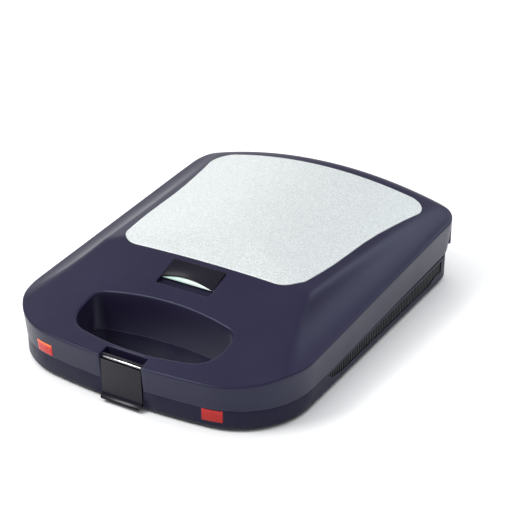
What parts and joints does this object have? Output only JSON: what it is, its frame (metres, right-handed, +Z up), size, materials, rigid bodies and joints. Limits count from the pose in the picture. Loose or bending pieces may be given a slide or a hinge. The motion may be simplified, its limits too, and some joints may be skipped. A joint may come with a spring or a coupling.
{
  "type": "sandwich toaster",
  "caption": "Flat sandwich toaster with a rear-hinged crowned lid, a silver top panel, a front carry opening and a swinging front latch.",
  "frame": {"origin": "centre of the footprint's bounding box, on the plane the feet stand on", "axes": "+Z up, -Y towards the user at the carry opening and latch, +Y towards the hinge, +X to the right of someone facing it"},
  "size_m": [0.2758, 0.3606, 0.0852],
  "materials": {
    "lid_plastic": "dark navy satin moulding with a very fine grain",
    "base_plastic": "dark navy satin moulding",
    "liner_plastic": "black heat-resistant moulding",
    "grille_plastic": "black ribbed moulding",
    "latch_plastic": "glossy black moulding",
    "hood_plastic": "glossy black moulding",
    "indicator_plastic": "translucent pale green-white moulding",
    "panel_steel": "silver sheet with a fine sparkling grain",
    "lens_red": "translucent red moulding",
    "lamp_glass": "small neon bulb",
    "nonstick": "black non-stick coat on cast aluminium",
    "element_steel": "dull, heat-tinted steel tube",
    "shield_steel": "bright pressed sheet",
    "ceramic": "glazed white ceramic",
    "bright_steel": "zinc-plated steel",
    "rubber": "matt black rubber"
  },
  "bodies": {
    "base": {"base_housing": "base_plastic", "base_bottom": "liner_plastic", "rubber_feet": "rubber", "bottom_screws": "bright_steel", "side_grille_right": "grille_plastic", "side_grille_left": "grille_plastic", "lower_plate": "nonstick", "lower_plate_screws": "bright_steel", "lower_element": "element_steel", "element_terminals_lower": "ceramic", "lower_heat_shield": "shield_steel", "thermostat": "ceramic", "terminal_block": "ceramic", "cord_gland": "rubber", "power_lens": "lens_red", "power_lamp": "lamp_glass", "hinge_pins": "bright_steel"},
    "lid": {"lid_cover": "lid_plastic", "top_panel": "panel_steel", "lid_frame": "liner_plastic", "lid_screws": "bright_steel", "upper_plate": "nonstick", "upper_plate_screws": "bright_steel", "upper_element": "element_steel", "element_terminals_upper": "ceramic", "upper_heat_shield": "shield_steel", "ready_lens": "lens_red", "ready_lamp": "lamp_glass", "indicator_hood": "hood_plastic", "indicator_lens": "indicator_plastic", "latch_pin": "bright_steel"},
    "latch": {"latch_clip": "latch_plastic"}
  },
  "joints": [
    {"name": "lid_hinge", "type": "hinge", "parent": "base", "child": "lid", "pos_m": [0, 0.1743, 0.031], "axis": [-1, 0, 0], "range_deg": [0, 100]},
    {"name": "latch_pivot", "type": "hinge", "parent": "lid", "child": "latch", "pos_m": [0, -0.1729, 0.039], "axis": [-1, 0, 0], "range_deg": [0, 70]}
  ]
}
